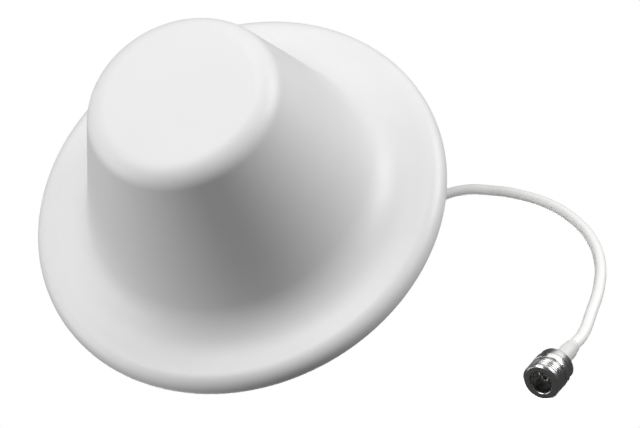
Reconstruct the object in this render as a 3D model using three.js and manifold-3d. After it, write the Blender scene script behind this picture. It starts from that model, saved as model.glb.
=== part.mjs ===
// Indoor ceiling dome antenna with a short coaxial pigtail, in millimetres.
//
// Frame: +Z up, the origin at the centre of the face that meets the ceiling. The dome hangs below
// z = 0 with its crown down, and the hollow threaded stud stands up through the ceiling hole.
// The coaxial lead leaves the top of the stud, arches over the rim and ends in an N socket.

import * as THREE from 'three';
import { mergeVertices } from 'three/addons/utils/BufferGeometryUtils.js';
import Module from 'manifold-3d';

const wasm = await Module();
wasm.setup();

// ---- driving dimensions ----------------------------------------------------------------------

const GAP = 0.3; // clearance between pieces that touch

// radome
const DOME_RADIUS = 93;
const DOME_HEIGHT = 88;
const WALL = 2.5;
const RIM_EDGE = 0.6; // the rim stops this far short of the ceiling
const RIM_DEPTH = 8.3; // depth of the brim at the rim
const RIM_ROUND = 6.8;
const BRIM_SLOPE = 2.5; // degrees from level
const FILLET = 20; // between the brim and the flank
const CROWN_RADIUS = 39; // where the flank would meet the crown plane
const FLANK_ANGLE = 19.8; // degrees from the axis
const CROWN_ROUND = 11;

// base plate
const PLATE_RADIUS = 89.8;
const PLATE_THICK = 4;
const PLATE_CHAMFER = 1.7; // clears the inside of the rim
const SEAT_RADIUS = 31; // the sunk seat of the foam gasket
const SEAT_DEPTH = 1;
const BASE_SCREW_CIRCLE = 82;
const BASE_SCREWS = 4;
const BASE_SCREW_LENGTH = 4.5; // under the head, as for every screw here
const BOSS_RADIUS = 4;
const BOSS_FOOT = -7.6; // inside the brim's wall
const BOSS_HOLE_FOOT = -6.8;
const STANDOFF_RADIUS = 5;

// screws
const SHANK = 1.35;
const SHANK_HOLE = SHANK + GAP;
const HEAD = 3.1;
const HEAD_THICK = 1.7;
const HEAD_FLAT = 0.8; // part of the head's radius that is flat on top
const HEAD_CROWN = 0.15; // rise of its rounded edge, as a part of the radius
const HEAD_POCKET = HEAD + GAP;
const HEAD_SUNK = 0.2; // a pocketed head sits this far under the surface

// stud, washer, nut
const STUD_RADIUS = 10.8;
const STUD_BORE = 8.4;
const STUD_TIP = 38;
const STUD_FLANGE_RADIUS = 20;
const STUD_FLANGE_THICK = 3;
const STUD_SCREW_CIRCLE = 15.5;
const STUD_SCREWS = 3;
const STUD_SCREW_LENGTH = 3.4;
const STUD_HOLE_TOP = -1.5; // of the blind holes in the plate, under the seat
const STUD_CHAMFER = 1;
const THREAD_CLEAR = STUD_RADIUS + GAP;
const GASKET_BORE = 11.6;
const GASKET_RADIUS = 30;
const GASKET_THICK = 2;
const WASHER_RADIUS = 20;
const WASHER_THICK = 2;
const NUT_FLATS = 34; // across the flats
const NUT_HEIGHT = 8;
const NUT_CHAMFER = 1.2;

// aerial inside
const GROUND_RADIUS = 67;
const GROUND_THICK = 1.2;
const GROUND_SCREW_CIRCLE = 60;
const GROUND_SCREWS = 4;
const GROUND_SCREW_LENGTH = 6.2;
const GROUND_HOLE_TOP = -1.4;
const BUSHING_FLANGE = 8;
const BUSHING_FLANGE_THICK = 1.5;
const BUSHING_NECK = 4;
const FEED_TOP = 2;
const DIELECTRIC_RADIUS = 1.65;
const FEED_PIN = 0.45;
const PIN_REACH = 4; // of the pin below the cone's apex
const APEX_DROP = 1.6; // from the bushing's flange to the cone's apex
const CONE_RADIUS = 30;
const CONE_SKIRT = 8;
const NOSE_OUTSIDE = 3.2; // radius of the cone's flat nose
const NOSE_INSIDE = 2.5;
const SHEET = 1;
const CAP_RADIUS = 38;
const POSTS = 3;
const POST_CIRCLE = 34.5;
const POST_RADIUS = 2.5;
const POST_HOLE_DEPTH = 6;
const AERIAL_DEPTH = 72; // underside of the cap
const M2_SHANK = 0.9;
const M2_HEAD = 1.9;
const M2_HEAD_THICK = 1.2;
const M2_LENGTH = 5;

// lead
const LEAD_RADIUS = 2.5;
const LEAD_BORE = LEAD_RADIUS + GAP;
const GROMMET_FOOT = 29;
const GROMMET_TIP = 45.7;
const GROMMET_TAPER = 0.4;
const GROMMET_HEAD = 9.4; // radius on the stud's tip
const GROMMET_HEAD_THICK = 1.8;
const GROMMET_NECK = 5.4; // radius where the strain relief starts
const GROMMET_NOSE = 3.8;

// N socket, measured along its own axis from the end of the free lead
const SLEEVE_END = 13.9;
const SLEEVE_RADIUS = 3.6;
const SLEEVE_BORE = 3.2; // over the ferrule
const SLEEVE_LIP = 3.15; // radius where it grips the lead
const SLEEVE_SHOULDER = 3.5;
const SHOULDER_START = 3;
const FERRULE_START = 2.7;
const FERRULE_BORE = 2.4;
const FERRULE_RADIUS = 2.9;
const BODY_START = SLEEVE_END + GAP;
const BODY_LENGTH = 16.5;
const MOUTH = BODY_START + BODY_LENGTH;
const N_THREAD = 7.9;
const N_FLANGE = 8;
const N_BORE = 4.8;
const MOUTH_CHAMFER = 0.8;
const HUB_RADIUS = 5.2;
const HUB_END = 1.6;
const REAR_RADIUS = 7.6;
const REAR_END = 5.2;
const FLANGE_END = 8.9;
const GROOVE_RADIUS = 7;
const GROOVE_END = 9.7;
const EDGE = 0.4; // chamfers of the socket's turned edges
const BODY_NECK = 2.2;
const SEAT_BORE = 4; // for the insulator
const SEAT_START = 1.8;
const SEAT_END = 7.8;
const INSULATOR_SUNK = 0.5;
const CONTACT_RADIUS = 1.5;
const CONTACT_BORE = 0.8;
const CONTACT_START = 2.8;
const CONTACT_RECESS = 4;
const SLOT_WIDTH = 0.4;
const SLOT_DEPTH = 5;

// The free lead's route, from the top of the stud to the back of the socket's sleeve.
const LEAD_ROUTE = [
  [0, 0, 46],
  [0, 0, 54],
  [-2, 0, 65],
  [-7.5, -0.5, 74.5],
  [-16.5, -1, 82],
  [-32.5, -2.5, 85],
  [-48.5, -1.5, 81.5],
  [-63.5, -0.5, 75],
  [-78, -2.5, 67.5],
  [-92, -8.5, 61.5],
  [-104, -19, 57],
  [-114.5, -31.5, 52.5],
  [-122.5, -45, 48],
  [-127.5, -60, 43],
  [-129, -75.5, 37.5],
  [-126.5, -90.5, 32],
  [-120, -104.5, 26],
  [-111, -117, 19.5],
  [-102.4, -127.7, 13.3],
  [-96.5, -132.5, 8.5],
];

// ---- helpers ---------------------------------------------------------------------------------

const rad = THREE.MathUtils.degToRad;

// Points on an arc, in the (radius, z) plane, angles in degrees.
function arc(centre, radius, from, to, steps) {
  const points = [];
  for (let i = 0; i <= steps; i += 1) {
    const angle = rad(from + ((to - from) * i) / steps);
    points.push([centre[0] + radius * Math.cos(angle), centre[1] + radius * Math.sin(angle)]);
  }
  return points;
}

// A solid turned about Z from an outline of [radius, z] points that runs anticlockwise.
function turned(outline, segments = 32) {
  const closed = outline[0][0] > 0 ? [...outline, outline[0]] : outline;
  const points = closed.map(([r, z]) => new THREE.Vector2(r, z));
  return new THREE.LatheGeometry(points, segments).rotateX(Math.PI / 2);
}

function tube(inner, outer, bottom, top, segments = 32) {
  return turned([[inner, bottom], [outer, bottom], [outer, top], [inner, top]], segments);
}

function rod(radius, bottom, top, segments = 16) {
  return turned([[0, bottom], [radius, bottom], [radius, top], [0, top]], segments);
}

function toManifold(geometry) {
  const bare = geometry.clone();
  bare.deleteAttribute('normal');
  bare.deleteAttribute('uv');
  const merged = mergeVertices(bare, 1e-4);
  return new wasm.Manifold(new wasm.Mesh({
    numProp: 3,
    vertProperties: new Float32Array(merged.attributes.position.array),
    triVerts: new Uint32Array(merged.index.array),
  }));
}

function toGeometry(solid) {
  const mesh = solid.getMesh();
  const geometry = new THREE.BufferGeometry();
  geometry.setAttribute('position', new THREE.BufferAttribute(mesh.vertProperties, 3));
  geometry.setIndex(new THREE.BufferAttribute(mesh.triVerts, 1));
  return geometry;
}

function combine(start, added, removed) {
  let solid = toManifold(start);
  for (const piece of added) {
    solid = solid.add(toManifold(piece));
  }
  for (const piece of removed) {
    solid = solid.subtract(toManifold(piece));
  }
  return toGeometry(solid);
}

// Places on a circle about Z, the first at the given angle in degrees.
function circle(radius, count, start = 0) {
  const places = [];
  for (let i = 0; i < count; i += 1) {
    const angle = rad(start + (360 * i) / count);
    places.push([radius * Math.cos(angle), radius * Math.sin(angle)]);
  }
  return places;
}

function atEach(places, makeGeometry) {
  return places.map(([x, y]) => makeGeometry().translate(x, y, 0));
}

const basePlaces = circle(BASE_SCREW_CIRCLE, BASE_SCREWS, 45);
const groundPlaces = circle(GROUND_SCREW_CIRCLE, GROUND_SCREWS);
const studPlaces = circle(STUD_SCREW_CIRCLE, STUD_SCREWS, 90);
const postPlaces = circle(POST_CIRCLE, POSTS, 30);

const model = new THREE.Group();

function addPiece(name, geometry, material, parent = model) {
  const mesh = new THREE.Mesh(geometry, material);
  mesh.name = name;
  parent.add(mesh);
  return mesh;
}

// ---- materials -------------------------------------------------------------------------------

function material(color, roughness, metalness = 0) {
  return new THREE.MeshStandardMaterial({ color, roughness, metalness });
}

const whiteAbs = material(0xeeeeee, 0.5);
const whiteNylon = material(0xe6e6e2, 0.55);
const foam = material(0x3a3a3c, 0.95);
const zincSteel = material(0xb9bcc0, 0.35, 1);
const aluminium = material(0xc8cacd, 0.4, 1);
const brass = material(0xc9a55a, 0.35, 1);
const ptfe = material(0xf4f4f0, 0.6);
const nickel = material(0x8f8f8f, 0.22, 1);
const silver = material(0xcfcdc8, 0.25, 1);
const whitePvc = material(0xf0f0ee, 0.45);
const whiteRubber = material(0xdededb, 0.75);

// ---- radome ----------------------------------------------------------------------------------

// The dome's outline from the crown's centre to the rim, moved inwards by inset. Steps are the
// number of chords in the crown's, the fillet's and the rim's arc.
function domeOutline(inset, steps) {
  const flank = rad(FLANK_ANGLE);
  const slope = rad(BRIM_SLOPE);
  const turn = 90 - FLANK_ANGLE - BRIM_SLOPE;

  const rimCentre = [DOME_RADIUS - RIM_ROUND, RIM_ROUND - RIM_DEPTH];
  const brimStart = [
    rimCentre[0] + RIM_ROUND * Math.sin(slope),
    rimCentre[1] - RIM_ROUND * Math.cos(slope),
  ];

  // Where the brim line and the flank line would meet.
  const flankReach = CROWN_RADIUS + Math.tan(flank) * (DOME_HEIGHT + brimStart[1]);
  const run = (brimStart[0] - flankReach) / (Math.cos(slope) - Math.tan(flank) * Math.sin(slope));
  const corner = [brimStart[0] - run * Math.cos(slope), brimStart[1] - run * Math.sin(slope)];
  const tangent = FILLET * Math.tan(rad(turn / 2));
  const filletCentre = [
    corner[0] + tangent * Math.cos(slope) + FILLET * Math.sin(slope),
    corner[1] + tangent * Math.sin(slope) - FILLET * Math.cos(slope),
  ];

  const crownCentre = [
    CROWN_RADIUS + Math.tan(flank) * CROWN_ROUND - CROWN_ROUND / Math.cos(flank),
    CROWN_ROUND - DOME_HEIGHT,
  ];
  return [
    [0, inset - DOME_HEIGHT],
    ...arc(crownCentre, CROWN_ROUND - inset, -90, -FLANK_ANGLE, steps[0]),
    ...arc(filletCentre, FILLET + inset, 180 - FLANK_ANGLE, 90 + BRIM_SLOPE, steps[1]),
    ...arc(rimCentre, RIM_ROUND - inset, BRIM_SLOPE - 90, 0, steps[2]),
    [DOME_RADIUS - inset, -RIM_EDGE],
  ];
}

function radomeShell() {
  const outside = domeOutline(0, [5, 6, 4]);
  const inside = domeOutline(WALL, [3, 5, 4]);
  const shell = turned([...outside, ...inside.reverse()], 60);
  const bossTop = -PLATE_THICK - GAP;
  const bosses = atEach(basePlaces, () => rod(BOSS_RADIUS, BOSS_FOOT, bossTop, 20));
  const holes = atEach(basePlaces, () => rod(SHANK_HOLE, BOSS_HOLE_FOOT, bossTop + 1, 12));
  return combine(shell, bosses, holes);
}

addPiece('radome_shell', radomeShell(), whiteAbs);

// ---- base plate and its screws ---------------------------------------------------------------

const STANDOFF_END = -PLATE_THICK - GAP - STUD_FLANGE_THICK; // foot of the plate's standoffs

function basePlate() {
  const disc = turned([
    [THREAD_CLEAR, -PLATE_THICK],
    [PLATE_RADIUS - PLATE_CHAMFER, -PLATE_THICK],
    [PLATE_RADIUS, PLATE_CHAMFER - PLATE_THICK],
    [PLATE_RADIUS, 0],
    [SEAT_RADIUS, 0],
    [SEAT_RADIUS, -SEAT_DEPTH],
    [THREAD_CLEAR, -SEAT_DEPTH],
  ], 60);
  const standoffs = atEach(groundPlaces,
    () => rod(STANDOFF_RADIUS, STANDOFF_END, 1 - PLATE_THICK, 20));
  const pocketFloor = -HEAD_SUNK - HEAD_THICK - GAP;
  const holes = [
    ...atEach(basePlaces, () => rod(SHANK_HOLE, -PLATE_THICK - 1, 1, 12)),
    ...atEach(basePlaces, () => rod(HEAD_POCKET, pocketFloor, 1, 20)),
    ...atEach(groundPlaces, () => rod(SHANK_HOLE, STANDOFF_END - 1, GROUND_HOLE_TOP, 12)),
    ...atEach(studPlaces, () => rod(SHANK_HOLE, -PLATE_THICK - 1, STUD_HOLE_TOP, 12)),
  ];
  return combine(disc, standoffs, holes);
}

// A pan-head screw on Z: head from headTop down, shank below it.
function screw(headTop, length, shank = SHANK, head = HEAD, thick = HEAD_THICK) {
  const under = headTop - thick;
  return turned([
    [0, under - length],
    [shank, under - length + shank],
    [shank, under],
    [head, under],
    [head, headTop - head * HEAD_CROWN],
    [head * HEAD_FLAT, headTop],
    [0, headTop],
  ], 12);
}

// Adds one screw at each place; flipped screws go in from below.
function addScrews(name, places, makeScrew, flipped, kind) {
  places.forEach(([x, y], i) => {
    const geometry = flipped ? makeScrew().rotateX(Math.PI) : makeScrew();
    addPiece(`${name}_${i + 1}`, geometry, kind).position.set(x, y, 0);
  });
}

addPiece('base_plate', basePlate(), whiteAbs);
addScrews('base_screw', basePlaces, () => screw(-HEAD_SUNK, BASE_SCREW_LENGTH), false, zincSteel);

// ---- stud, gasket, washer and nut ------------------------------------------------------------

const FLANGE_TOP = -PLATE_THICK - GAP;
const FLANGE_FOOT = FLANGE_TOP - STUD_FLANGE_THICK;

function mountingStud() {
  const body = turned([
    [STUD_BORE, FLANGE_FOOT],
    [STUD_FLANGE_RADIUS, FLANGE_FOOT],
    [STUD_FLANGE_RADIUS, FLANGE_TOP],
    [STUD_RADIUS, FLANGE_TOP],
    [STUD_RADIUS, STUD_TIP - STUD_CHAMFER],
    [STUD_RADIUS - STUD_CHAMFER, STUD_TIP],
    [STUD_BORE, STUD_TIP],
  ], 40);
  const pocket = FLANGE_FOOT + HEAD_SUNK + HEAD_THICK + GAP;
  const holes = [
    ...atEach(studPlaces, () => rod(SHANK_HOLE, FLANGE_FOOT - 1, FLANGE_TOP + 1, 12)),
    ...atEach(studPlaces, () => rod(HEAD_POCKET, FLANGE_FOOT - 1, pocket, 20)),
  ];
  return combine(body, [], holes);
}

function mountingNut(bottom) {
  const hexRadius = NUT_FLATS / 2 / Math.cos(rad(30));
  const top = bottom + NUT_HEIGHT;
  const prism = turned([[0, bottom], [hexRadius, bottom], [hexRadius, top], [0, top]], 6);
  const rounder = turned([
    [0, bottom - 1],
    [hexRadius + 1, bottom - 1],
    [hexRadius + 1, top - NUT_CHAMFER],
    [hexRadius - NUT_CHAMFER * 2, top + 0.01],
    [0, top + 0.01],
  ], 48);
  const bore = rod(THREAD_CLEAR, bottom - 1, top + 1, 40);
  const rounded = toManifold(prism).intersect(toManifold(rounder));
  return toGeometry(rounded.subtract(toManifold(bore)));
}

const GASKET_FOOT = GAP - SEAT_DEPTH;
const WASHER_FOOT = GASKET_FOOT + GASKET_THICK + GAP;
const NUT_FOOT = WASHER_FOOT + WASHER_THICK + GAP;

addPiece('mounting_stud', mountingStud(), whiteNylon);
addScrews('stud_screw', studPlaces,
  () => screw(-FLANGE_FOOT - HEAD_SUNK, STUD_SCREW_LENGTH), true, zincSteel);
addPiece('foam_gasket',
  tube(GASKET_BORE, GASKET_RADIUS, GASKET_FOOT, GASKET_FOOT + GASKET_THICK, 48), foam);
addPiece('clamp_washer',
  tube(THREAD_CLEAR, WASHER_RADIUS, WASHER_FOOT, WASHER_FOOT + WASHER_THICK, 48), zincSteel);
addPiece('mounting_nut', mountingNut(NUT_FOOT), whiteNylon);

// ---- aerial: ground plane, feed, cone, cap and shorting posts --------------------------------

const GROUND_TOP = STANDOFF_END - GAP;
const GROUND_FOOT = GROUND_TOP - GROUND_THICK;
const BUSHING_TOP = GROUND_FOOT - GAP;
const BUSHING_FOOT = BUSHING_TOP - BUSHING_FLANGE_THICK;
const CONE_APEX = BUSHING_FOOT - APEX_DROP;
const CAP_TOP = -AERIAL_DEPTH + SHEET;

function groundPlane() {
  const disc = tube(BUSHING_NECK + GAP, GROUND_RADIUS, GROUND_FOOT, GROUND_TOP, 60);
  const holes = atEach(groundPlaces,
    () => rod(SHANK_HOLE, GROUND_FOOT - 1, GROUND_TOP + 1, 12));
  return combine(disc, [], holes);
}

// The bushing is soldered to the lead's braid and clamps the ground plane under its flange.
function feedBushing() {
  const bore = DIELECTRIC_RADIUS + GAP;
  return turned([
    [bore, BUSHING_FOOT],
    [BUSHING_FLANGE, BUSHING_FOOT],
    [BUSHING_FLANGE, BUSHING_TOP],
    [BUSHING_NECK, BUSHING_TOP],
    [BUSHING_NECK, FEED_TOP],
    [bore, FEED_TOP],
  ], 24);
}

// A thin spun cone, open at its wide end, with a small flat nose round the feed pin.
function radiatorCone() {
  const pinHole = FEED_PIN + GAP;
  const skirtFoot = CAP_TOP + GAP;
  const skirtTop = skirtFoot + CONE_SKIRT;
  return turned([
    [pinHole, CONE_APEX - SHEET * 1.5],
    [NOSE_INSIDE, CONE_APEX - SHEET * 1.5],
    [CONE_RADIUS - SHEET, skirtTop],
    [CONE_RADIUS - SHEET, skirtFoot],
    [CONE_RADIUS, skirtFoot],
    [CONE_RADIUS, skirtTop],
    [NOSE_OUTSIDE, CONE_APEX],
    [pinHole, CONE_APEX],
  ], 40);
}

function coneCap() {
  const disc = turned([
    [0, -AERIAL_DEPTH],
    [CAP_RADIUS, -AERIAL_DEPTH],
    [CAP_RADIUS, CAP_TOP],
    [0, CAP_TOP],
  ], 48);
  const holes = atEach(postPlaces,
    () => rod(M2_SHANK + GAP, -AERIAL_DEPTH - 1, CAP_TOP + 1, 12));
  return combine(disc, [], holes);
}

function shortingPost() {
  const post = rod(POST_RADIUS, CAP_TOP + GAP, GROUND_FOOT - GAP, 16);
  const hole = rod(M2_SHANK + GAP, CAP_TOP - 1, CAP_TOP + POST_HOLE_DEPTH, 12);
  return combine(post, [], [hole]);
}

addPiece('ground_plane', groundPlane(), aluminium);
addScrews('ground_screw', groundPlaces,
  () => screw(-GROUND_FOOT + GAP + HEAD_THICK, GROUND_SCREW_LENGTH), true, zincSteel);
addPiece('feed_bushing', feedBushing(), brass);
addPiece('feed_dielectric',
  tube(FEED_PIN + GAP, DIELECTRIC_RADIUS, CONE_APEX + GAP, FEED_TOP, 16), ptfe);
addPiece('feed_pin', rod(FEED_PIN, CONE_APEX - PIN_REACH, FEED_TOP, 10), brass);
addPiece('radiator_cone', radiatorCone(), aluminium);
addPiece('cone_cap', coneCap(), aluminium);
postPlaces.forEach(([x, y], i) => {
  addPiece(`shorting_post_${i + 1}`, shortingPost(), brass).position.set(x, y, 0);
});
const postScrewTop = AERIAL_DEPTH + GAP + M2_HEAD_THICK;
addScrews('post_screw', postPlaces,
  () => screw(postScrewTop, M2_LENGTH, M2_SHANK, M2_HEAD, M2_HEAD_THICK), true, zincSteel);

// ---- lead: fixed stretch, grommet, free stretch ----------------------------------------------

function studGrommet() {
  return turned([
    [LEAD_BORE, GROMMET_FOOT],
    [STUD_BORE - GAP - GROMMET_TAPER, GROMMET_FOOT],
    [STUD_BORE - GAP, STUD_TIP + GAP],
    [GROMMET_HEAD, STUD_TIP + GAP],
    [GROMMET_HEAD - GROMMET_TAPER, STUD_TIP + GROMMET_HEAD_THICK],
    [GROMMET_NECK, STUD_TIP + GROMMET_HEAD_THICK + GROMMET_TAPER],
    [GROMMET_NOSE, GROMMET_TIP],
    [LEAD_BORE, GROMMET_TIP],
  ], 32);
}

function freeLead(curve) {
  const section = new THREE.Shape();
  section.absarc(0, 0, LEAD_RADIUS, 0, Math.PI * 2);
  return new THREE.ExtrudeGeometry(section, {
    extrudePath: curve,
    steps: 26,
    curveSegments: 10,
    bevelEnabled: false,
  });
}

const route = LEAD_ROUTE.map(([x, y, z]) => new THREE.Vector3(x, y, z));
const leadCurve = new THREE.CatmullRomCurve3(route, false, 'centripetal');

addPiece('cable_lead_in', rod(LEAD_RADIUS, FEED_TOP + GAP, GROMMET_TIP, 16), whitePvc);
addPiece('stud_grommet', studGrommet(), whiteRubber);
addPiece('cable', freeLead(leadCurve), whitePvc);

// ---- N socket on the end of the lead ---------------------------------------------------------

const socket = new THREE.Group();
const socketAxis = route.at(-1).clone().sub(route.at(-2)).normalize();
socket.position.copy(route.at(-1));
socket.quaternion.setFromUnitVectors(new THREE.Vector3(0, 0, 1), socketAxis);
model.add(socket);

function heatShrink() {
  return turned([
    [LEAD_BORE, GAP],
    [SLEEVE_LIP, GAP],
    [SLEEVE_SHOULDER, SHOULDER_START],
    [SLEEVE_RADIUS, SLEEVE_END],
    [SLEEVE_BORE, SLEEVE_END],
    [SLEEVE_BORE, FERRULE_START - GAP],
    [LEAD_BORE, FERRULE_START - GAP],
  ], 24);
}

function connectorBody() {
  const at = (length) => BODY_START + length;
  return turned([
    [BODY_NECK, BODY_START],
    [HUB_RADIUS, BODY_START],
    [HUB_RADIUS, at(HUB_END)],
    [REAR_RADIUS - EDGE, at(HUB_END)],
    [REAR_RADIUS, at(HUB_END + EDGE)],
    [REAR_RADIUS, at(REAR_END)],
    [N_FLANGE, at(REAR_END + EDGE)],
    [N_FLANGE, at(FLANGE_END)],
    [GROOVE_RADIUS, at(FLANGE_END)],
    [GROOVE_RADIUS, at(GROOVE_END)],
    [N_THREAD, at(GROOVE_END + EDGE)],
    [N_THREAD, MOUTH - MOUTH_CHAMFER],
    [N_THREAD - MOUTH_CHAMFER, MOUTH],
    [N_BORE, MOUTH],
    [N_BORE, at(SEAT_END)],
    [SEAT_BORE, at(SEAT_END)],
    [SEAT_BORE, at(SEAT_START)],
    [BODY_NECK, at(SEAT_START)],
  ], 36);
}

// A sprung socket contact: a bored rod whose mouth is split by two crossing slots.
function centreContact() {
  const tip = MOUTH - CONTACT_RECESS;
  const contact = rod(CONTACT_RADIUS, BODY_START + CONTACT_START, tip, 20);
  const bore = rod(CONTACT_BORE, tip - SLOT_DEPTH - 1, tip + 1, 12);
  const slot = () => new THREE.BoxGeometry(SLOT_WIDTH, CONTACT_RADIUS * 3, SLOT_DEPTH)
    .translate(0, 0, tip - SLOT_DEPTH / 2 + 0.1);
  return combine(contact, [], [bore, slot(), slot().rotateZ(Math.PI / 2)]);
}

addPiece('heat_shrink', heatShrink(), whitePvc, socket);
addPiece('crimp_ferrule',
  tube(FERRULE_BORE, FERRULE_RADIUS, FERRULE_START, SLEEVE_END, 24), nickel, socket);
addPiece('connector_body', connectorBody(), nickel, socket);
addPiece('connector_insulator', tube(
  CONTACT_RADIUS + GAP,
  SEAT_BORE - GAP,
  BODY_START + SEAT_START + GAP,
  BODY_START + SEAT_END - INSULATOR_SUNK,
  24,
), ptfe, socket);
addPiece('centre_contact', centreContact(), silver, socket);

export default model;
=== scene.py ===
"""Looks for the indoor ceiling dome antenna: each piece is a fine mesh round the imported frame."""

import math

import bmesh
import bpy
from mathutils import Matrix, Vector


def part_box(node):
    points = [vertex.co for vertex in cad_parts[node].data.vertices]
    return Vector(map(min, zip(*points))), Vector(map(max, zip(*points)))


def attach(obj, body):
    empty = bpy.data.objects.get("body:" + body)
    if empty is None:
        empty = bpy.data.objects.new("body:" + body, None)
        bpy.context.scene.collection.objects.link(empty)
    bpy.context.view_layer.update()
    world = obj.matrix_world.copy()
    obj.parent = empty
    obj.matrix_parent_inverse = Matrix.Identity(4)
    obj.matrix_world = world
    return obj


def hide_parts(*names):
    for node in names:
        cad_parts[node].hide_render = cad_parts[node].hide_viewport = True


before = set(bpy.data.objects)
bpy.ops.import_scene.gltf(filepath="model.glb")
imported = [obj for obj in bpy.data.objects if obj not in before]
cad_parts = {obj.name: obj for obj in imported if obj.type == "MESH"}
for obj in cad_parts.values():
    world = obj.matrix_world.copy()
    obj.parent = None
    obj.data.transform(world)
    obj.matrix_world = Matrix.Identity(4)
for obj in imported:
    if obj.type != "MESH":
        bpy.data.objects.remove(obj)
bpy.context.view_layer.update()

MM = 0.001
GAP = 0.3 * MM  # between pieces that touch


# ---- places read from the frame ---------------------------------------------------------------


def foot(node):
    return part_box(node)[0].z


def top(node):
    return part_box(node)[1].z


def reach(node):
    """Half the node's width along X."""
    low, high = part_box(node)
    return (high.x - low.x) / 2


def nodes_named(stem):
    return sorted(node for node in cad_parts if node.startswith(stem))


def middle(node):
    low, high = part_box(node)
    return (low + high) / 2


# ---- camera -----------------------------------------------------------------------------------

CAMERA_ELEVATION = math.radians(-56.7)
CAMERA_ROLL = math.radians(153.0)
CAMERA_DISTANCE = 0.902
CAMERA_ASIDE = 0.0353  # how far the picture's centre is right of the dome's axis
CAMERA_UP = -0.0054
LENS = 115.5


def make_camera():
    back = Vector((0, -math.cos(CAMERA_ELEVATION), math.sin(CAMERA_ELEVATION)))
    level = Vector((1, 0, 0))
    upright = back.cross(level)
    right = level * math.cos(CAMERA_ROLL) + upright * math.sin(CAMERA_ROLL)
    up = back.cross(right)
    data = bpy.data.cameras.new("camera")
    data.lens = LENS
    data.sensor_width = 36
    data.clip_start = 0.01
    data.clip_end = 60
    camera = bpy.data.objects.new("camera", data)
    turn = Matrix((right, up, back)).transposed().to_4x4()
    place = right * CAMERA_ASIDE + up * CAMERA_UP + back * CAMERA_DISTANCE
    camera.matrix_world = Matrix.Translation(place) @ turn
    bpy.context.scene.collection.objects.link(camera)
    bpy.context.scene.camera = camera


make_camera()


# ---- mesh helpers -----------------------------------------------------------------------------


def add_object(name, mesh, material=None):
    made = bpy.data.objects.new(name, mesh)
    bpy.context.scene.collection.objects.link(made)
    if material is not None:
        mesh.materials.append(material)
    return made


def finish_mesh(name, vertices, faces, crease):
    """A welded mesh, faces out, smooth except at edges sharper than crease degrees."""
    mesh = bpy.data.meshes.new(name)
    mesh.from_pydata(vertices, [], faces)
    work = bmesh.new()
    work.from_mesh(mesh)
    bmesh.ops.remove_doubles(work, verts=work.verts, dist=2e-7)
    bmesh.ops.recalc_face_normals(work, faces=work.faces)
    work.to_mesh(mesh)
    work.free()
    mesh.shade_smooth()
    mesh.set_sharp_from_angle(angle=math.radians(crease))
    return mesh


def arc(centre, radius, start, end, steps):
    """Points on an arc in the (radius, z) plane, angles in degrees."""
    points = []
    for i in range(steps + 1):
        angle = math.radians(start + (end - start) * i / steps)
        across, up = radius * math.cos(angle), radius * math.sin(angle)
        points.append((centre[0] + across, centre[1] + up))
    return points


def soften(outline, radius, steps=3):
    """Rounds the outline's corners off the axis."""
    made = []
    count = len(outline)
    for i, point in enumerate(outline):
        here = Vector(point)
        if point[0] <= 0:
            made.append(point)
            continue
        before = Vector(outline[i - 1]) - here
        after = Vector(outline[(i + 1) % count]) - here
        trim = min(radius, before.length * 0.45, after.length * 0.45)
        if trim < 1e-6:
            made.append(point)
            continue
        start = here + before.normalized() * trim
        end = here + after.normalized() * trim
        for k in range(steps + 1):
            t = k / steps
            p = start * (1 - t) ** 2 + here * 2 * t * (1 - t) + end * t * t
            made.append((p.x, p.y))
    return made


def turned(name, outline, material=None, segments=96, crease=38, shape=None):
    """A body turned about Z from (radius, z) points. shape(radius, z, angle) may move them."""
    open_ended = outline[0][0] <= 0 and outline[-1][0] <= 0
    vertices = []
    for radius, z in outline:
        for i in range(segments):
            angle = 2 * math.pi * i / segments
            r = radius if shape is None else shape(radius, z, angle)
            vertices.append((r * math.cos(angle), r * math.sin(angle), z))
    faces = []
    rows = len(outline)
    for j in range(rows - 1 if open_ended else rows):
        k = (j + 1) % rows
        for i in range(segments):
            n = (i + 1) % segments
            faces.append((j * segments + i, j * segments + n, k * segments + n, k * segments + i))
    return add_object(name, finish_mesh(name, vertices, faces, crease), material)


def tube_outline(inner, outer, low, high):
    return [(inner, low), (outer, low), (outer, high), (inner, high)]


def cut(target, cutters, crease=38):
    """Takes the cutters out of the target and removes them."""
    for cutter in cutters:
        boolean = target.modifiers.new("cut", "BOOLEAN")
        boolean.operation = "DIFFERENCE"
        boolean.solver = "EXACT"
        boolean.object = cutter
    bpy.context.view_layer.update()
    graph = bpy.context.evaluated_depsgraph_get()
    mesh = bpy.data.meshes.new_from_object(target.evaluated_get(graph))
    target.modifiers.clear()
    old = target.data
    target.data = mesh
    bpy.data.meshes.remove(old)
    mesh.shade_smooth()
    mesh.set_sharp_from_angle(angle=math.radians(crease))
    for cutter in cutters:
        bpy.data.objects.remove(cutter)
    return target


def drill(piece, places, outline, segments):
    """Takes a turned cutter with that outline out of the piece at each place."""
    holes = []
    for x, y in places:
        hole = turned("hole", outline, None, segments)
        hole.data.transform(Matrix.Translation((x, y, 0)))
        holes.append(hole)
    return cut(piece, holes)


def rod_outline(radius, low, high):
    return [(0, low), (radius, low), (radius, high), (0, high)]


def around(radius, count, start):
    """Places on a circle about Z, the first at start degrees."""
    angles = [math.radians(start + 360 * i / count) for i in range(count)]
    return [(radius * math.cos(angle), radius * math.sin(angle)) for angle in angles]


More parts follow.
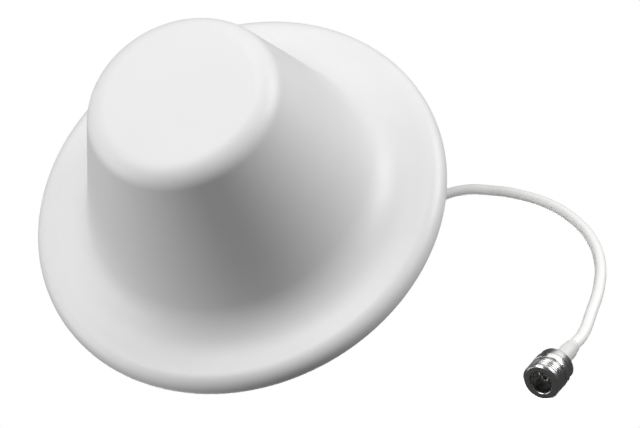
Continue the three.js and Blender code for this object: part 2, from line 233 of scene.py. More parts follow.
def block(name, size, centre, turn=0.0, taper=1.0):
    """A box about its centre, turned about Z, narrower at its foot by taper."""
    corners = []
    for z, share in ((-0.5, taper), (0.5, 1.0)):
        for x, y in ((-0.5, -0.5), (0.5, -0.5), (0.5, 0.5), (-0.5, 0.5)):
            corners.append((x * size[0] * share, y * size[1], z * size[2]))
    faces = [(0, 3, 2, 1), (4, 5, 6, 7), (0, 1, 5, 4), (1, 2, 6, 5), (2, 3, 7, 6), (3, 0, 4, 7)]
    mesh = bpy.data.meshes.new(name)
    mesh.from_pydata(corners, [], faces)
    mesh.transform(Matrix.Translation(Vector(centre)) @ Matrix.Rotation(turn, 4, "Z"))
    return add_object(name, mesh)


def thread_rows(radius, low, high, pitch, rows_per_turn=12):
    """Outline points up a threaded stretch."""
    count = max(2, round((high - low) / pitch * rows_per_turn))
    return [(radius, low + (high - low) * i / count) for i in range(count + 1)]


def thread_shape(radius, low, high, pitch, depth, inward=True):
    """The shape function of a right-handed thread at that radius, fading at both ends."""

    def shape(r, z, angle):
        if abs(r - radius) > 1e-7 or not low - 1e-7 <= z <= high + 1e-7:
            return r
        phase = ((z / pitch) - angle / (2 * math.pi)) % 1.0
        ridge = 1 - abs(2 * phase - 1)
        height = min(1.0, max(0.0, (ridge - 0.18) / 0.6))
        fade = min(1.0, (z - low) / pitch, (high - z) / pitch)
        drop = depth * (1 - height) * max(0.0, fade)
        return r - drop if inward else r + drop

    return shape


def settle(piece, slot_name, *nodes, body="root"):
    """The piece stands for its CAD nodes and rides on its body."""
    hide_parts(*nodes)
    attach(piece, body)
    return piece


# ---- materials --------------------------------------------------------------------------------


class Surface:
    """A principled material with a few procedural layers."""

    def __init__(self, name, color, roughness, metallic=0.0, **constants):
        self.material = bpy.data.materials.new(name)
        self.material.use_nodes = True
        self.nodes = self.material.node_tree.nodes
        self.links = self.material.node_tree.links
        self.shader = self.nodes["Principled BSDF"]
        self.shader.inputs["Base Color"].default_value = (*color, 1)
        self.shader.inputs["Roughness"].default_value = roughness
        self.shader.inputs["Metallic"].default_value = metallic
        for key, value in constants.items():
            self.shader.inputs[key.replace("_", " ")].default_value = value
        self.coordinates = self.nodes.new("ShaderNodeTexCoord")
        self.normal = None

    def noise(self, scale, detail=3.0, stretch=(1, 1, 1)):
        """Noise in the object's own metres, about scale bumps a metre."""
        mapping = self.nodes.new("ShaderNodeMapping")
        mapping.inputs["Scale"].default_value = stretch
        self.links.new(self.coordinates.outputs["Object"], mapping.inputs["Vector"])
        noise = self.nodes.new("ShaderNodeTexNoise")
        noise.inputs["Scale"].default_value = scale
        noise.inputs["Detail"].default_value = detail
        self.links.new(mapping.outputs["Vector"], noise.inputs["Vector"])
        return noise.outputs["Fac"]

    def cells(self, scale):
        voronoi = self.nodes.new("ShaderNodeTexVoronoi")
        voronoi.inputs["Scale"].default_value = scale
        self.links.new(self.coordinates.outputs["Object"], voronoi.inputs["Vector"])
        return voronoi.outputs["Distance"]

    def ramp(self, factor, low, high, start=0.3, end=0.7):
        """Colours or greys between two values as the factor goes from start to end."""
        ramp = self.nodes.new("ShaderNodeValToRGB")
        ramp.color_ramp.elements[0].position = start
        ramp.color_ramp.elements[0].color = (*low, 1)
        ramp.color_ramp.elements[1].position = end
        ramp.color_ramp.elements[1].color = (*high, 1)
        self.links.new(factor, ramp.inputs["Fac"])
        return ramp.outputs["Color"]

    def tint(self, factor, low, high):
        self.links.new(self.ramp(factor, low, high), self.shader.inputs["Base Color"])

    def gloss(self, factor, low, high):
        grey = self.ramp(factor, (low,) * 3, (high,) * 3)
        self.links.new(grey, self.shader.inputs["Roughness"])

    def bump(self, factor, distance, strength=1.0):
        node = self.nodes.new("ShaderNodeBump")
        node.inputs["Distance"].default_value = distance
        node.inputs["Strength"].default_value = strength
        self.links.new(factor, node.inputs["Height"])
        if self.normal is not None:
            self.links.new(self.normal, node.inputs["Normal"])
        self.normal = node.outputs["Normal"]
        self.links.new(self.normal, self.shader.inputs["Normal"])


def moulded(name, color, roughness, grain=2600, depth=0.012 * MM, spread=0.02):
    """Moulded plastic: faint cloudiness, a fine spark-eroded grain and uneven gloss."""
    surface = Surface(name, color, roughness, IOR=1.5)
    dull = tuple(c * (1 - spread) for c in color)
    surface.tint(surface.noise(24, 2), dull, color)
    surface.gloss(surface.noise(180, 4), roughness - 0.05, roughness + 0.06)
    surface.bump(surface.noise(grain, 2), depth)
    return surface.material


def metal(name, color, roughness, lines, depth, spread=0.1):
    """Turned or rolled metal: tool lines round the axis, faint tarnish."""
    surface = Surface(name, color, roughness, 1.0)
    dull = tuple(c * (1 - spread) for c in color)
    surface.tint(surface.noise(260, 4), dull, color)
    streaks = surface.noise(lines, 3, (0.04, 0.04, 1))
    surface.gloss(streaks, roughness * 0.8, roughness * 1.3)
    surface.bump(streaks, depth)
    return surface.material


abs_white = moulded("abs_white", (0.86, 0.86, 0.86), 0.46)
nylon_white = moulded("nylon_white", (0.80, 0.80, 0.78), 0.42, 1400, 0.02 * MM, 0.04)
ptfe_white = moulded("ptfe_white", (0.88, 0.88, 0.86), 0.5, 900, 0.02 * MM, 0.03)
sleeve_white = moulded("sleeve_white", (0.84, 0.84, 0.83), 0.4, 700, 0.05 * MM, 0.04)
jacket_white = moulded("jacket_white", (0.87, 0.87, 0.86), 0.34, 900, 0.03 * MM, 0.02)
rubber_white = moulded("rubber_white", (0.74, 0.74, 0.72), 0.62, 1800, 0.03 * MM, 0.05)
zinc = metal("zinc_plate", (0.62, 0.63, 0.65), 0.26, 3000, 0.006 * MM)
aluminium = metal("aluminium_sheet", (0.72, 0.73, 0.74), 0.34, 1800, 0.008 * MM)
brass = metal("turned_brass", (0.78, 0.58, 0.26), 0.25, 3200, 0.006 * MM)
nickel = metal("nickel_plate", (0.56, 0.56, 0.555), 0.23, 3600, 0.004 * MM)
silver = metal("silver_plate", (0.78, 0.77, 0.75), 0.22, 3600, 0.004 * MM)


def foam_material():
    surface = Surface("closed_foam", (0.05, 0.05, 0.052), 0.92)
    surface.tint(surface.cells(1500), (0.02, 0.02, 0.021), (0.075, 0.075, 0.078))
    surface.bump(surface.cells(1500), 0.25 * MM)
    surface.bump(surface.noise(300, 3), 0.3 * MM, 0.6)
    return surface.material


foam_black = foam_material()


# ---- the free lead ----------------------------------------------------------------------------

# The route from the top of the stud to the back of the socket's sleeve, in metres.
LEAD_ROUTE = [
    (0, 0, 0.046),
    (0, 0, 0.054),
    (-0.002, 0, 0.065),
    (-0.0075, -0.0005, 0.0745),
    (-0.0165, -0.001, 0.082),
    (-0.0325, -0.0025, 0.085),
    (-0.0485, -0.0015, 0.0815),
    (-0.0635, -0.0005, 0.075),
    (-0.078, -0.0025, 0.0675),
    (-0.092, -0.0085, 0.0615),
    (-0.104, -0.019, 0.057),
    (-0.1145, -0.0315, 0.0525),
    (-0.1225, -0.045, 0.048),
    (-0.1275, -0.06, 0.043),
    (-0.129, -0.0755, 0.0375),
    (-0.1265, -0.0905, 0.032),
    (-0.12, -0.1045, 0.026),
    (-0.111, -0.117, 0.0195),
    (-0.1024, -0.1277, 0.0133),
    (-0.0965, -0.1325, 0.0085),
]
LEAD_RADIUS = 2.5 * MM
HIDDEN_START = 5 * MM  # of the lead, inside the grommet
HIDDEN_END = 9 * MM  # inside the sleeve and the ferrule

exit_point = Vector(LEAD_ROUTE[0])
lead_end = Vector(LEAD_ROUTE[-1])
socket_axis = (lead_end - Vector(LEAD_ROUTE[-2])).normalized()


def free_lead():
    data = bpy.data.curves.new("coax_lead", "CURVE")
    data.dimensions = "3D"
    data.bevel_depth = LEAD_RADIUS
    data.bevel_resolution = 8
    data.resolution_u = 10
    data.use_fill_caps = True
    points = [exit_point - Vector((0, 0, HIDDEN_START))]
    points += [Vector(p) for p in LEAD_ROUTE]
    points.append(lead_end + socket_axis * HIDDEN_END)
    spline = data.splines.new("BEZIER")
    spline.bezier_points.add(len(points) - 1)
    for knot, place in zip(spline.bezier_points, points):
        knot.co = place
        knot.handle_left_type = "AUTO"
        knot.handle_right_type = "AUTO"
    data.materials.append(jacket_white)
    lead = bpy.data.objects.new("coax_lead", data)
    bpy.context.scene.collection.objects.link(lead)
    return settle(lead, "cable_jacket", "cable")


coax_lead = free_lead()


# ---- socket on the lead -----------------------------------------------------------------------

# Along the socket's axis from the end of the free lead, as the part has it.
SLEEVE_END = 13.9 * MM
BODY_START = 14.2 * MM
MOUTH = BODY_START + 16.5 * MM
BODY_BORE = 4.8 * MM
BODY_RADIUS = 7.9 * MM
FLANGE_RADIUS = 8.0 * MM
THREAD_START = BODY_START + 10.2 * MM
THREAD_END = MOUTH - 0.9 * MM
N_PITCH = 25.4 / 24 * MM
THREAD_DEPTH = 0.28 * MM
CONTACT_RADIUS = 1.5 * MM
CONTACT_TIP = MOUTH - 4 * MM

socket_turn = Vector((0, 0, 1)).rotation_difference(socket_axis)
socket_place = Matrix.Translation(lead_end) @ socket_turn.to_matrix().to_4x4()


def on_socket(piece, slot_name, node):
    piece.matrix_world = socket_place
    return settle(piece, slot_name, node)


def heat_shrink():
    """The sleeve has shrunk onto the lead and the ferrule, with a soft step between them."""
    outline = [
        (2.62 * MM, 0.3 * MM),
        (2.95 * MM, 0.3 * MM),
        (3.08 * MM, 1.2 * MM),
        (3.12 * MM, 2.4 * MM),
        (3.3 * MM, 3.2 * MM),
        (3.52 * MM, 4.0 * MM),
        (3.58 * MM, 6 * MM),
        (3.6 * MM, 12.6 * MM),
        (3.52 * MM, SLEEVE_END),
        (3.2 * MM, SLEEVE_END),
        (3.2 * MM, 4.2 * MM),
        (2.62 * MM, 2.8 * MM),
    ]

    def uneven(r, z, angle):
        if r < 2.9 * MM or r < 3.3 * MM and z > 4.1 * MM:
            return r
        wave = math.sin(3 * angle + z * 420) * 0.5 + math.sin(5 * angle - z * 900) * 0.3
        return r + 0.035 * MM * wave

    piece = turned("sleeve", soften(outline, 0.5 * MM, 4), sleeve_white, 64, 50, uneven)
    return on_socket(piece, "heat_shrink", "heat_shrink")


def connector_body():
    start = BODY_START
    back = soften([
        (2.2 * MM, start),
        (5.2 * MM, start),
        (5.2 * MM, start + 1.6 * MM),
        (7.6 * MM, start + 1.6 * MM),
        (7.6 * MM, start + 5.2 * MM),
        (FLANGE_RADIUS, start + 5.5 * MM),
        (FLANGE_RADIUS, start + 8.9 * MM),
        (7.0 * MM, start + 8.9 * MM),
        (7.0 * MM, start + 9.7 * MM),
        (BODY_RADIUS - 0.1 * MM, start + 9.8 * MM),
        (BODY_RADIUS, THREAD_START - 0.05 * MM),
    ], 0.35 * MM)[:-4]
    front = soften([
        (BODY_RADIUS, THREAD_END),
        (BODY_RADIUS, THREAD_END + 0.1 * MM),
        (BODY_RADIUS - 0.8 * MM, MOUTH),
        (BODY_BORE + 0.35 * MM, MOUTH),
        (BODY_BORE, MOUTH - 0.35 * MM),
        (BODY_BORE, start + 7.8 * MM),
        (4.0 * MM, start + 7.8 * MM),
        (4.0 * MM, start + 1.8 * MM),
        (2.2 * MM, start + 1.8 * MM),
    ], 0.16 * MM)[4:]
    rows = thread_rows(BODY_RADIUS, THREAD_START, THREAD_END, N_PITCH, 10)
    helix = thread_shape(BODY_RADIUS, THREAD_START, THREAD_END, N_PITCH, THREAD_DEPTH)
    piece = turned("socket_body", back + rows + front, nickel, 96, 42, helix)
    return on_socket(piece, "nickel", "connector_body")


def connector_insulator():
    low, high = BODY_START + 2.1 * MM, BODY_START + 7.3 * MM
    outline = tube_outline(CONTACT_RADIUS + 0.25 * MM, 3.8 * MM, low, high)
    piece = turned("socket_insulator", soften(outline, 0.25 * MM), ptfe_white, 64)
    return on_socket(piece, "ptfe", "connector_insulator")


def centre_contact():
    """A bored pin whose mouth is split into four sprung fingers."""
    outline = [
        (0, BODY_START + 2.8 * MM),
        (CONTACT_RADIUS, BODY_START + 2.8 * MM),
        (CONTACT_RADIUS, CONTACT_TIP),
        (0.8 * MM, CONTACT_TIP),
        (0.8 * MM, CONTACT_TIP - 6 * MM),
        (0, CONTACT_TIP - 6 * MM),
    ]
    piece = turned("socket_contact", soften(outline, 0.2 * MM), silver, 64)
    slot_size = (0.35 * MM, 4 * MM, 5.2 * MM)
    slot_centre = (0, 0, CONTACT_TIP - 2.5 * MM)
    cut(piece, [block("slot", slot_size, slot_centre, turn) for turn in (0, math.pi / 2)])
    return on_socket(piece, "silver_contact", "centre_contact")


def crimp_ferrule():
    outline = soften(tube_outline(2.6 * MM, 2.95 * MM, 4.2 * MM, SLEEVE_END), 0.1 * MM)
    return on_socket(turned("ferrule", outline, nickel, 48), "nickel", "crimp_ferrule")


sleeve = heat_shrink()
socket_body = connector_body()
insulator = connector_insulator()
contact = centre_contact()
socket_pieces = [sleeve, socket_body, insulator, contact, crimp_ferrule()]


# ---- radome -----------------------------------------------------------------------------------

DOME_RADIUS = reach("radome_shell")
DOME_HEIGHT = -foot("radome_shell")
RIM_EDGE = top("radome_shell")
WALL = 2.5 * MM
RIM_DEPTH = 8.3 * MM
RIM_ROUND = 6.8 * MM
BRIM_SLOPE = 2.5  # degrees from level
FILLET = 20 * MM
CROWN_RADIUS = 39 * MM  # where the flank would meet the crown plane
FLANK_ANGLE = 19.8  # degrees from the axis
CROWN_ROUND = 11 * MM


def dome_outline(inset, steps):
    """From the crown's centre to the rim, moved inwards by inset."""
    flank = math.radians(FLANK_ANGLE)
    slope = math.radians(BRIM_SLOPE)
    turn = 90 - FLANK_ANGLE - BRIM_SLOPE
    rim_centre = (DOME_RADIUS - RIM_ROUND, RIM_ROUND - RIM_DEPTH)
    brim_r = rim_centre[0] + RIM_ROUND * math.sin(slope)
    brim_z = rim_centre[1] - RIM_ROUND * math.cos(slope)
    flank_reach = CROWN_RADIUS + math.tan(flank) * (DOME_HEIGHT + brim_z)
    run = (brim_r - flank_reach) / (math.cos(slope) - math.tan(flank) * math.sin(slope))
    tangent = FILLET * math.tan(math.radians(turn / 2))
    fillet_r = brim_r - (run - tangent) * math.cos(slope) + FILLET * math.sin(slope)
    fillet_z = brim_z - (run - tangent) * math.sin(slope) - FILLET * math.cos(slope)
    crown_r = CROWN_RADIUS + math.tan(flank) * CROWN_ROUND - CROWN_ROUND / math.cos(flank)
    crown_centre = (crown_r, CROWN_ROUND - DOME_HEIGHT)
    outline = [(0, inset - DOME_HEIGHT), (crown_r * 0.5, inset - DOME_HEIGHT)]
    outline += arc(crown_centre, CROWN_ROUND - inset, -90, -FLANK_ANGLE, steps)
    outline += arc((fillet_r, fillet_z), FILLET + inset, 180 - FLANK_ANGLE, 90 + BRIM_SLOPE, steps)
    outline += arc(rim_centre, RIM_ROUND - inset, BRIM_SLOPE - 90, 0, steps)
    outline += [(DOME_RADIUS - inset, RIM_EDGE)]
    return outline


def radome():
    outside = dome_outline(0, 16)
    inside = dome_outline(WALL, 8)
    lip = soften([outside[-2], outside[-1], inside[-1], inside[-2]], 0.6 * MM)[4:-4]
    outline = outside[:-1] + lip + inside[:-1][::-1]
    piece = turned("radome", outline, abs_white, 192, 60)
    return settle(piece, "radome_plastic", "radome_shell")


radome()


# ---- base plate, gasket, washer, nut and stud --------------------------------------------------

STUD_RADIUS = 10.8 * MM
STUD_BORE = 8.4 * MM
STUD_PITCH = 2.5 * MM
STUD_FLANGE = 20 * MM
GASKET_SEAT = 31 * MM
NUT_FLATS = 34 * MM
HEAD_RADIUS = 3.1 * MM
HEAD_THICK = 1.7 * MM
SHANK_RADIUS = 1.35 * MM
SHANK_HOLE = SHANK_RADIUS + GAP
BASE_SCREW_CIRCLE = 82 * MM
GROUND_SCREW_CIRCLE = 60 * MM
PLATE_THICK = 4 * MM
PLATE_CHAMFER = 1.7 * MM
GROOVE_CIRCLES = (76 * MM, 56 * MM, 36 * MM)


def base_plate():
    """The back cover: grooves, the gasket's sunk seat, counterbored holes and four standoffs."""
    plate = reach("base_plate")
    groove = 0.6 * MM
    width = 1.4 * MM
    seat_depth = 1 * MM
    bore = STUD_RADIUS + GAP
    face = [
        (bore, -PLATE_THICK),
        (plate - PLATE_CHAMFER, -PLATE_THICK),
        (plate, PLATE_CHAMFER - PLATE_THICK),
        (plate, 0),
    ]
    for centre in GROOVE_CIRCLES:
        face += [
            (centre + width, 0),
            (centre + width * 0.6, -groove),
            (centre - width * 0.6, -groove),
            (centre - width, 0),
        ]
    face += [(GASKET_SEAT, 0), (GASKET_SEAT, -seat_depth), (bore, -seat_depth)]
    piece = turned("back_cover", soften(face, 0.3 * MM), abs_white, 160)
    pocket = HEAD_RADIUS + GAP
    drill(piece, around(BASE_SCREW_CIRCLE, 4, 45), [
        (0, -PLATE_THICK - MM),
        (SHANK_HOLE, -PLATE_THICK - MM),
        (SHANK_HOLE, -2.2 * MM),
        (pocket, -2.2 * MM),
        (pocket, -0.3 * MM),
        (pocket + 0.4 * MM, MM),
        (0, MM),
    ], 32)
    for k, (x, y) in enumerate(around(GROUND_SCREW_CIRCLE, 4, 0)):
        post = tube_outline(SHANK_HOLE, 5 * MM, foot("base_plate"), -PLATE_THICK - 0.05 * MM)
        standoff = turned(f"standoff_{k}", soften(post, 0.3 * MM), abs_white, 40)
        standoff.data.transform(Matrix.Translation((x, y, 0)))
        settle(standoff, "radome_plastic", "base_plate")
    return settle(piece, "radome_plastic", "base_plate")


def mounting_stud():
    """A hollow stud with a coarse thread and a flange under the base plate."""
    flange_foot = foot("mounting_stud")
    flange_top = flange_foot + 3 * MM
    tip = top("mounting_stud")
    thread_low = 1.5 * MM
    thread_high = tip - 1.4 * MM
    lower = soften([
        (STUD_BORE, flange_foot),
        (STUD_FLANGE, flange_foot),
        (STUD_FLANGE, flange_top),
        (STUD_RADIUS, flange_top),
        (STUD_RADIUS, thread_low - 0.1 * MM),
    ], 0.4 * MM)[4:-4]
    upper = soften([
        (STUD_RADIUS, thread_high + 0.1 * MM),
        (STUD_RADIUS - 1.1 * MM, tip),
        (STUD_BORE + 0.2 * MM, tip),
        (STUD_BORE, tip - 0.4 * MM),
        (STUD_BORE, flange_foot),
    ], 0.2 * MM)[4:-4]
    rows = thread_rows(STUD_RADIUS, thread_low, thread_high, STUD_PITCH, 12)
    helix = thread_shape(STUD_RADIUS, thread_low, thread_high, STUD_PITCH, 1.1 * MM)
    outline = [(STUD_BORE, flange_foot)] + lower + rows + upper
    piece = turned("threaded_stud", outline, nylon_white, 120, 50, helix)
    return settle(piece, "stud_nylon", "mounting_stud")


def mounting_nut():
    """A hexagon nut with a washer face, chamfered corners and its own thread."""
    low, high = foot("mounting_nut"), top("mounting_nut")
    bore = STUD_RADIUS + GAP
    corner = NUT_FLATS / 2 / math.cos(math.radians(30))
    chamfer = 2.2 * MM
    outline = [
        (bore + 0.7 * MM, low),
        (NUT_FLATS / 2 - 0.4 * MM, low),
        (NUT_FLATS / 2 - 0.2 * MM, low + 0.5 * MM),
        (corner, low + 0.9 * MM),
        (corner, low + 1.2 * MM),
        (corner, high - 1.5 * MM),
        (corner - chamfer * 0.5, high - 0.75 * MM),
        (corner - chamfer, high - 0.15 * MM),
        (corner - chamfer - 0.5 * MM, high),
        (bore + 0.9 * MM, high),
    ]
    rows = thread_rows(bore, low + 0.9 * MM, high - 0.9 * MM, STUD_PITCH, 10)[::-1]
    helix = thread_shape(bore, low + 0.9 * MM, high - 0.9 * MM, STUD_PITCH, 0.5 * MM, False)

    def shape(r, z, angle):
        if r < NUT_FLATS / 2 - 1 * MM:
            return helix(r, z, angle)
        sector = (angle % (math.pi / 3)) - math.pi / 6
        flat = NUT_FLATS / 2 / math.cos(sector)
        # a soft corner, and never outside the chamfer cone
        return min(r, flat - 0.35 * MM * (abs(sector) / (math.pi / 6)) ** 8)

    piece = turned("hex_nut", outline + rows, nylon_white, 144, 28, shape)
    return settle(piece, "stud_nylon", "mounting_nut", body="nut")


def ring(name, node, inner, material, slot_name, rounding, body="root"):
    """A flat ring as tall and wide as its node."""
    outline = tube_outline(inner, reach(node), foot(node), top(node))
    piece = turned(name, soften(outline, rounding, 4), material, 128)
    return settle(piece, slot_name, node, body=body)


base_plate()
mounting_stud()
mounting_nut()
ring("foam_ring", "foam_gasket", STUD_RADIUS + 0.8 * MM, foam_black, "foam", 0.5 * MM)
ring("flat_washer", "clamp_washer", STUD_RADIUS + GAP, zinc, "zinc_steel", 0.35 * MM, "washer")


# ---- screws -----------------------------------------------------------------------------------


def screw_mesh(name, head, shank, thick, length):
    """A pan-head screw with a cross recess, its head's top at z = 0."""
    neck = -thick
    tip = neck - length
    rows = thread_rows(shank, tip + shank, neck - 0.2 * MM, shank * 0.75, 6)
    helix = thread_shape(shank, tip + shank, neck - 0.2 * MM, shank * 0.75, shank * 0.2)
    outline = [(0, tip), (shank * 0.35, tip + shank * 0.2)] + rows
    outline += soften([
        (shank, neck - 0.1 * MM),
        (shank, neck),
        (head, neck),
        (head, neck + thick * 0.45),
        (head * 0.86, -thick * 0.14),
        (head * 0.5, 0),
        (0, 0),
    ], 0.25 * MM, 3)[4:]
    piece = turned(name, outline, zinc, 40, 45, helix)
    size = (head * 1.15, head * 0.26, thick * 1.1)
    cut(piece, [block("recess", size, (0, 0, 0), turn, 0.35) for turn in (0, math.pi / 2)], 35)
    mesh = piece.data
    bpy.data.objects.remove(piece)
    return mesh


def place_screws(
    stem, length, upward=False, head=HEAD_RADIUS, shank=SHANK_RADIUS, thick=HEAD_THICK
):
    """One screw at each node of that name, upward where its head faces +Z."""
    mesh = screw_mesh(stem + "_mesh", head, shank, thick, length)
    for node in nodes_named(stem):
        centre = middle(node)
        piece = add_object(node.replace("screw", "cross_screw"), mesh)
        face = top(node) if upward else foot(node)
        flip = Matrix.Identity(4) if upward else Matrix.Rotation(math.pi, 4, "X")
        spin = Matrix.Rotation(centre.x * 40, 4, "Z")
        piece.matrix_world = Matrix.Translation((centre.x, centre.y, face)) @ spin @ flip
        settle(piece, "zinc_steel", node)


place_screws("base_screw", 4.5 * MM, upward=True)
place_screws("stud_screw", 3.4 * MM)
place_screws("ground_screw", 6.2 * MM)
place_screws("post_screw", 5 * MM, head=1.9 * MM, shank=0.9 * MM, thick=1.2 * MM)


# ---- grommet and the lead inside the stud ------------------------------------------------------


def stud_grommet():
    """A soft plug with a lip over the stud and ribs up its neck."""
    tip = top("stud_grommet")
    low = foot("stud_grommet")
    lip = top("mounting_stud") + GAP
    bore = LEAD_RADIUS + 0.1 * MM
    outline = [
        (bore, low),
        (STUD_BORE - 0.7 * MM, low),
        (STUD_BORE - GAP, lip),
        (STUD_BORE + 1.0 * MM, lip),
        (STUD_BORE + 0.6 * MM, lip + 1.5 * MM),
    ]
    ribs = 3
    neck_low = lip + 1.9 * MM
    step = (tip - neck_low) / ribs
    for i in range(ribs):
        r = 5.4 * MM - 1.6 * MM * i / ribs
        z = neck_low + step * i
        rib = ((0, 0), (0.25 * MM, 0.62), (0.8 * MM, 0.68), (0.85 * MM, 0.95))
        outline += [(r - inward, z + step * share) for inward, share in rib]
    outline += [(3.6 * MM, tip), (bore, tip)]
    piece = turned("lead_grommet", soften(outline, 0.3 * MM), rubber_white, 72)
    return settle(piece, "grommet_rubber", "stud_grommet")


def lead_in():
    high = exit_point.z - HIDDEN_START - 0.2 * MM  # just under the free lead's hidden start
    outline = rod_outline(LEAD_RADIUS, foot("cable_lead_in"), high)
    piece = turned("lead_in", soften(outline, 0.2 * MM), jacket_white, 48)
    return settle(piece, "cable_jacket", "cable_lead_in")


stud_grommet()
lead_in()


# ---- aerial -----------------------------------------------------------------------------------

PIN_HOLE = 0.75 * MM
POST_CIRCLE = 34.5 * MM
POST_SCREW_HOLE = 1.2 * MM


def ground_plane():
    """A thin disc under the standoffs, with its screw holes."""
    low, high, radius = foot("ground_plane"), top("ground_plane"), reach("ground_plane")
    outline = soften(tube_outline(4.3 * MM, radius, low, high), 0.3 * MM)
    piece = turned("ground_disc", outline, aluminium, 128)
    hole = rod_outline(SHANK_HOLE, low - MM, high + MM)
    drill(piece, around(GROUND_SCREW_CIRCLE, 4, 0), hole, 24)
    return settle(piece, "aluminium_sheet", "ground_plane")


def radiator_cone():
    low, high, radius = foot("radiator_cone"), top("radiator_cone"), reach("radiator_cone")
    sheet, skirt = 1 * MM, 8 * MM
    outline = [
        (PIN_HOLE, high - 1.5 * sheet),
        (2.5 * MM, high - 1.5 * sheet),
        (radius - sheet, low + skirt),
        (radius - sheet, low),
        (radius, low),
        (radius, low + skirt),
        (3.2 * MM, high),
        (PIN_HOLE, high),
    ]
    piece = turned("spun_cone", soften(outline, 1.2 * MM), aluminium, 96)
    return settle(piece, "aluminium_sheet", "radiator_cone")


def cone_cap():
    low, high, radius = foot("cone_cap"), top("cone_cap"), reach("cone_cap")
    outline = soften(rod_outline(radius, low, high), 0.25 * MM)
    piece = turned("top_plate", outline, aluminium, 96)
    hole = rod_outline(POST_SCREW_HOLE, low - MM, high + MM)
    drill(piece, around(POST_CIRCLE, 3, 30), hole, 24)
    return settle(piece, "aluminium_sheet", "cone_cap")


def shorting_posts():
    hole_depth = 5.7 * MM
    for node in nodes_named("shorting_post"):
        low, high, centre = foot(node), top(node), middle(node)
        outline = [
            (0, low + hole_depth),
            (POST_SCREW_HOLE, low + hole_depth),
            (POST_SCREW_HOLE, low),
            (reach(node), low),
            (reach(node), high),
            (0, high),
        ]
        piece = turned(node.replace("shorting", "brass"), soften(outline, 0.25 * MM), brass, 40)
        piece.matrix_world = Matrix.Translation((centre.x, centre.y, 0))
        settle(piece, "brass", node)


def feed():
    low, high, flange, neck = foot("feed_bushing"), top("feed_bushing"), 8 * MM, 4 * MM
    flange_high = low + 1.5 * MM
    bore = 1.95 * MM
    bushing = [
        (bore, low),
        (flange, low),
        (flange, flange_high),
        (neck, flange_high),
        (neck, high),
        (bore, high),
    ]
    settle(turned("brass_bushing", soften(bushing, 0.3 * MM), brass, 64), "brass", "feed_bushing")
    low, high = foot("feed_dielectric"), top("feed_dielectric")
    bead = tube_outline(PIN_HOLE, reach("feed_dielectric"), low, high)
    settle(turned("ptfe_bead", soften(bead, 0.15 * MM), ptfe_white, 48), "ptfe", "feed_dielectric")
    pin = rod_outline(reach("feed_pin"), foot("feed_pin"), top("feed_pin"))
    settle(turned("feed_wire", soften(pin, 0.1 * MM), brass, 24), "brass", "feed_pin")


ground_plane()
radiator_cone()
cone_cap()
shorting_posts()
feed()


# ---- floor, lights and surroundings ------------------------------------------------------------

FLOOR_Z = -1.1
FLOOR_HALF = 30
LIT_POINT = Vector((0, 0, -0.03))


def look(place):
    """A matrix at a place whose -Z points at the point the lights aim at."""
    aim = (LIT_POINT - Vector(place)).normalized()
    return Matrix.Translation(Vector(place)) @ aim.to_track_quat("-Z", "Y").to_matrix().to_4x4()


def area_light(name, place, width, height, power):
    data = bpy.data.lights.new(name, "AREA")
    data.shape = "RECTANGLE"
    data.size = width
    data.size_y = height
    data.energy = power
    light = bpy.data.objects.new(name, data)
    light.matrix_world = look(place)
    light.visible_camera = False
    bpy.context.scene.collection.objects.link(light)
    return light


def studio_floor():
    mesh = bpy.data.meshes.new("studio_floor")
    corners = ((-1, -1), (1, -1), (1, 1), (-1, 1))
    vertices = [(x * FLOOR_HALF, y * FLOOR_HALF, FLOOR_Z) for x, y in corners]
    mesh.from_pydata(vertices, [], [(0, 1, 2, 3)])
    surface = Surface("pale_floor", (0.86, 0.86, 0.86), 0.8)
    floor = add_object("studio_floor", mesh, surface.material)
    floor.visible_diffuse = False
    floor.visible_glossy = False
    return floor


def light_only(light, objects):
    """Lets the light fall on these objects alone."""
    lit = bpy.data.collections.new(light.name + "_lit")
    for lit_object in objects:
        lit.objects.link(lit_object)
    light.light_linking.receiver_collection = lit


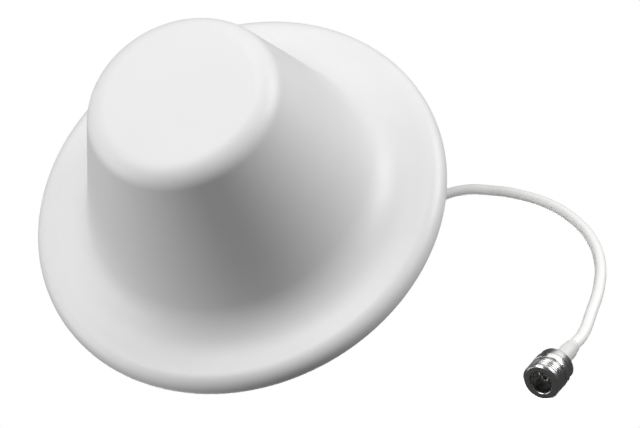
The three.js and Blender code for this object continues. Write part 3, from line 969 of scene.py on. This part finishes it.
def floor_light(floor):
    data = bpy.data.lights.new("floor_light", "SUN")
    data.energy = 3.0
    data.angle = math.radians(60)
    light = bpy.data.objects.new("floor_light", data)
    light.matrix_world = look((0, 0, 3))
    bpy.context.scene.collection.objects.link(light)
    light_only(light, [floor])


def surroundings(ambient, mirrored, seen):
    """A white backdrop for the camera, a dim even room, and a darker one for what shines."""
    world = bpy.data.worlds.new("studio")
    world.use_nodes = True
    bpy.context.scene.world = world
    nodes, links = world.node_tree.nodes, world.node_tree.links
    background = nodes["Background"]
    rays = nodes.new("ShaderNodeLightPath")
    strength = None
    for output, value in (("Is Glossy Ray", mirrored), ("Is Camera Ray", seen)):
        mix = nodes.new("ShaderNodeMix")
        mix.inputs["B"].default_value = value
        if strength is None:
            mix.inputs["A"].default_value = ambient
        else:
            links.new(strength, mix.inputs["A"])
        links.new(rays.outputs[output], mix.inputs["Factor"])
        strength = mix.outputs["Result"]
    links.new(strength, background.inputs["Strength"])
    background.inputs["Color"].default_value = (1, 1, 1, 1)


floor = studio_floor()
floor_light(floor)
area_light("key", (0.37, 0.21, -0.91), 0.45, 0.45, 3.6)
area_light("key_far", (-0.21, 0.37, -0.91), 0.45, 0.45, 2.8)
area_light("side_right", (0.93, 0.16, -0.34), 0.45, 0.45, 2.3)
area_light("side_left", (-0.94, 0, -0.34), 0.45, 0.45, 5.6)
area_light("overhead", (0.25, 0.15, 1.3), 1.0, 1.0, 14)
lead_fill = area_light("lead_fill", (-0.45, -0.75, -0.75), 0.5, 0.5, 3)
light_only(lead_fill, [coax_lead])
card = area_light("metal_card", (-0.76, 0.62, -0.22), 1.0, 0.6, 3.4)
front_card = area_light("front_card", (-0.73, -0.07, -0.68), 0.35, 0.35, 2)
for light in (card, front_card):
    light_only(light, [socket_body, contact])
surroundings(0.148, 0.08, 1.0)

bpy.context.scene.view_settings.view_transform = "Standard"
bpy.context.scene.view_settings.look = "None"


# ---- the end ----------------------------------------------------------------------------------

bpy.context.view_layer.update()
